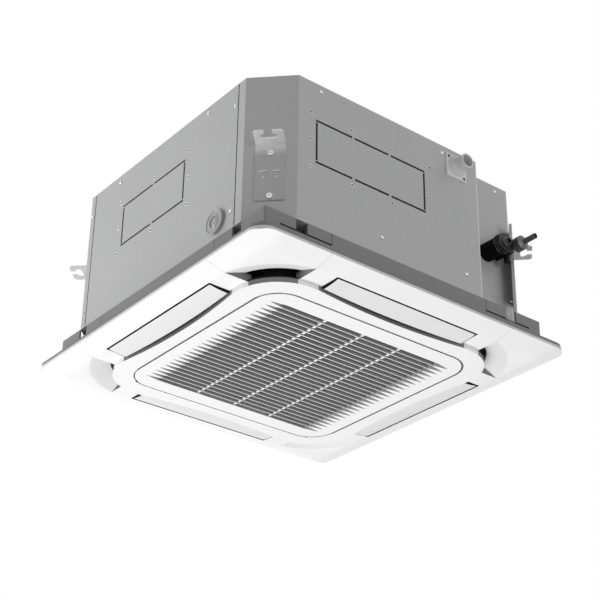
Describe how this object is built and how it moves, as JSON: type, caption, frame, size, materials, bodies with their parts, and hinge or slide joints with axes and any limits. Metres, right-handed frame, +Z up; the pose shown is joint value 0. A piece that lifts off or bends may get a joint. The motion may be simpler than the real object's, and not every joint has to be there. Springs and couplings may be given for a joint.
{
  "type": "ceiling cassette air conditioner",
  "caption": "Square ceiling cassette air conditioner: sheet casing with hanger ears and pipe ends over a white panel with corner outlets, louvers and a slatted intake grille.",
  "frame": {"origin": "centre of the four hanger bolts, on the underside of the hanger ears", "axes": "+Z up, +X out of the right wall with the drain spigot and the pipe ends, -Y out of the front wall; the pipe recess is at the +X +Y corner"},
  "size_m": [0.658, 0.632, 0.3355],
  "materials": {
    "zinc_sheet": "matt zinc-coated sheet",
    "bracket_steel": "satin zinc plate",
    "screw_steel": "bright zinc",
    "grey_plastic": "matt moulded grey",
    "pipe_metal": "dull grey metal",
    "dark_nut": "black, satin",
    "black_foam": "closed-cell foam",
    "ivory_plastic": "matt",
    "dark_plastic": "matt",
    "fins": "thin fins",
    "copper": "copper tube",
    "motor_metal": "satin",
    "rubber": "soft",
    "white_plastic": "fine matt texture",
    "filter_net": "fine net"
  },
  "bodies": {
    "base": {"top_plate": "zinc_sheet", "front_panel": "zinc_sheet", "right_panel": "zinc_sheet", "left_panel": "zinc_sheet", "back_panel": "zinc_sheet", "pipe_panel": "zinc_sheet", "pipe_post": "zinc_sheet", "bracket_front_right": "bracket_steel", "bracket_front_left": "bracket_steel", "bracket_back_left": "bracket_steel", "bracket_back_right": "bracket_steel", "bracket_screws": "screw_steel", "gland": "grey_plastic", "drain_port": "grey_plastic", "gas_pipe": "pipe_metal", "liquid_pipe": "pipe_metal", "gas_nut": "dark_nut", "liquid_nut": "dark_nut", "pipe_foam": "black_foam", "drain_pan": "ivory_plastic", "drain_pump": "ivory_plastic", "drain_hose": "dark_plastic", "float_stem": "dark_plastic", "coil_fins": "fins", "coil_plates": "fins", "coil_headers": "copper", "fan_motor": "motor_metal", "motor_feet": "rubber", "bell_mouth": "ivory_plastic", "control_box": "zinc_sheet", "control_lid": "zinc_sheet", "duct_seal": "black_foam", "panel_frame": "white_plastic", "centre_ring": "white_plastic", "cover_front_right": "white_plastic", "cover_front_left": "white_plastic", "cover_back_left": "white_plastic", "cover_back_right": "white_plastic", "ceiling_gasket": "black_foam", "panel_upstand": "grey_plastic", "louver_motors": "white_plastic", "hinge_brackets": "white_plastic", "latch_housings": "white_plastic"},
    "fan": {"turbo_fan": "ivory_plastic", "fan_shroud": "ivory_plastic", "fan_shaft": "screw_steel"},
    "louver_front": {"louver_front": "white_plastic"},
    "louver_right": {"louver_right": "white_plastic"},
    "louver_back": {"louver_back": "white_plastic"},
    "louver_left": {"louver_left": "white_plastic"},
    "grille": {"grille": "white_plastic", "hinge_pins": "screw_steel", "filter_frame": "white_plastic", "filter_mesh": "filter_net"},
    "latch_left": {"latch_left": "white_plastic"},
    "latch_right": {"latch_right": "white_plastic"},
    "float_ball": {"float_ball": "ivory_plastic"}
  },
  "joints": [
    {"name": "fan_spin", "type": "hinge", "parent": "base", "child": "fan", "pos_m": [0, 0, 0], "axis": [0, 0, 1], "continuous": true},
    {"name": "louver_front_swing", "type": "hinge", "parent": "base", "child": "louver_front", "pos_m": [0, -0.2525, -0.1955], "axis": [1, 0, 0], "range_deg": [0, 55]},
    {"name": "louver_right_swing", "type": "hinge", "parent": "base", "child": "louver_right", "pos_m": [0.2525, 0, -0.1955], "axis": [0, 1, 0], "range_deg": [0, 55]},
    {"name": "louver_back_swing", "type": "hinge", "parent": "base", "child": "louver_back", "pos_m": [0, 0.2525, -0.1955], "axis": [-1, 0, 0], "range_deg": [0, 55]},
    {"name": "louver_left_swing", "type": "hinge", "parent": "base", "child": "louver_left", "pos_m": [-0.2525, 0, -0.1955], "axis": [0, -1, 0], "range_deg": [0, 55]},
    {"name": "grille_hinge", "type": "hinge", "parent": "base", "child": "grille", "pos_m": [-0.2005, 0, -0.2056], "axis": [0, 1, 0], "range_deg": [0, 88]},
    {"name": "latch_left_push", "type": "slide", "parent": "base", "child": "latch_left", "axis": [0, 0, 1], "range_m": [0, 0.004], "stiffness_N_per_m": 300, "springref_m": -0.003},
    {"name": "latch_right_push", "type": "slide", "parent": "base", "child": "latch_right", "axis": [0, 0, 1], "range_m": [0, 0.004], "stiffness_N_per_m": 300, "springref_m": -0.003},
    {"name": "float_rise", "type": "slide", "parent": "base", "child": "float_ball", "axis": [0, 0, 1], "range_m": [0, 0.012]}
  ]
}
